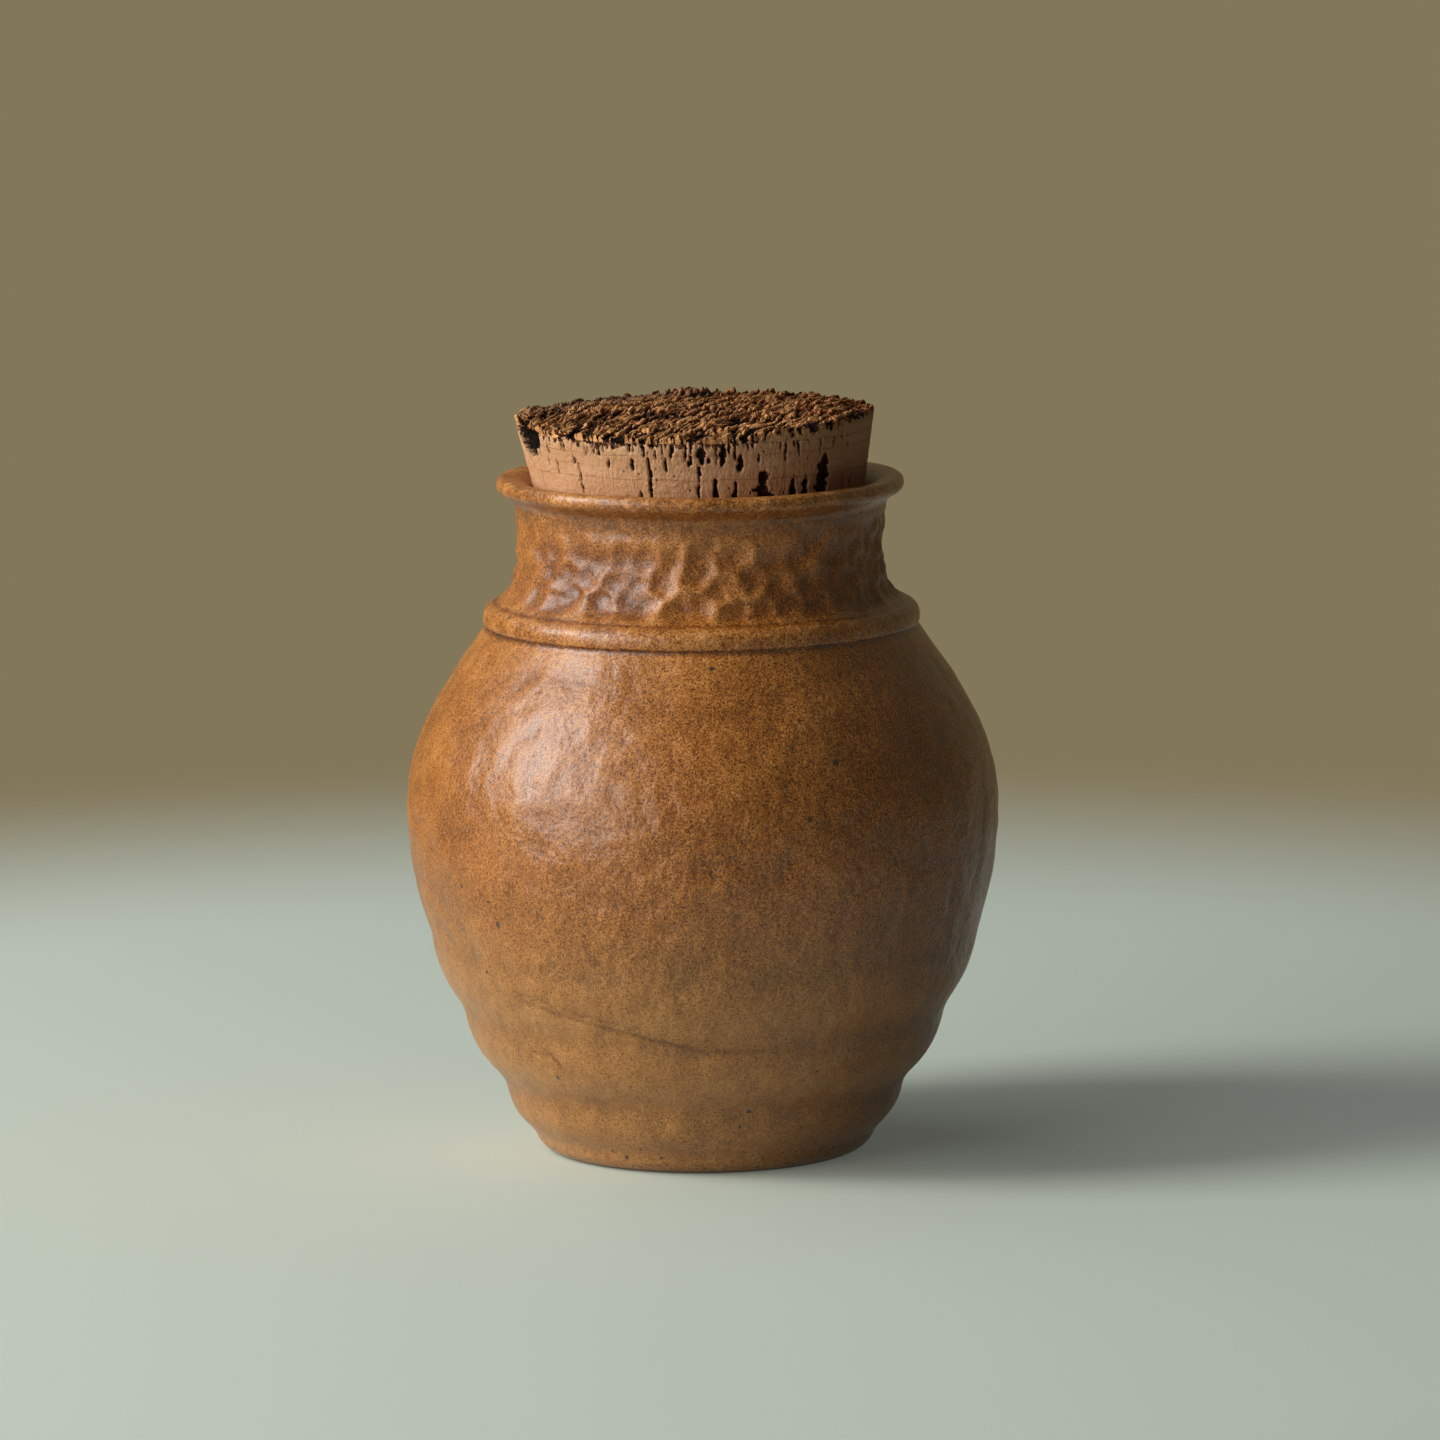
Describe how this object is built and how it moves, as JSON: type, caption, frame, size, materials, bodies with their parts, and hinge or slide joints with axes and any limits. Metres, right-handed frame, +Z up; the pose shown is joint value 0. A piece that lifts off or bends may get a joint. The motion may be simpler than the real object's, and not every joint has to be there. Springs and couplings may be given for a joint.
{
  "type": "tea canister",
  "caption": "Round-bellied thrown stoneware canister with a beaten neck, a rolled lip and a bark-topped natural cork stopper that lifts out.",
  "frame": {"origin": "middle of the jar's flat foot, on the surface that it stands on", "axes": "+Z up through the mouth; the picture looks along +Y, with +X to its right"},
  "size_m": [0.0954, 0.0954, 0.1206],
  "materials": {
    "stoneware": "satin",
    "cork": "matte",
    "bark": "matte"
  },
  "bodies": {
    "jar": {"stoneware_jar": "stoneware"},
    "stopper": {"stopper_cork": "cork", "stopper_bark": "bark"}
  },
  "joints": [
    {"name": "stopper_lift", "type": "slide", "parent": "jar", "child": "stopper", "axis": [0, 0, 1], "range_m": [0, 0.045]}
  ]
}
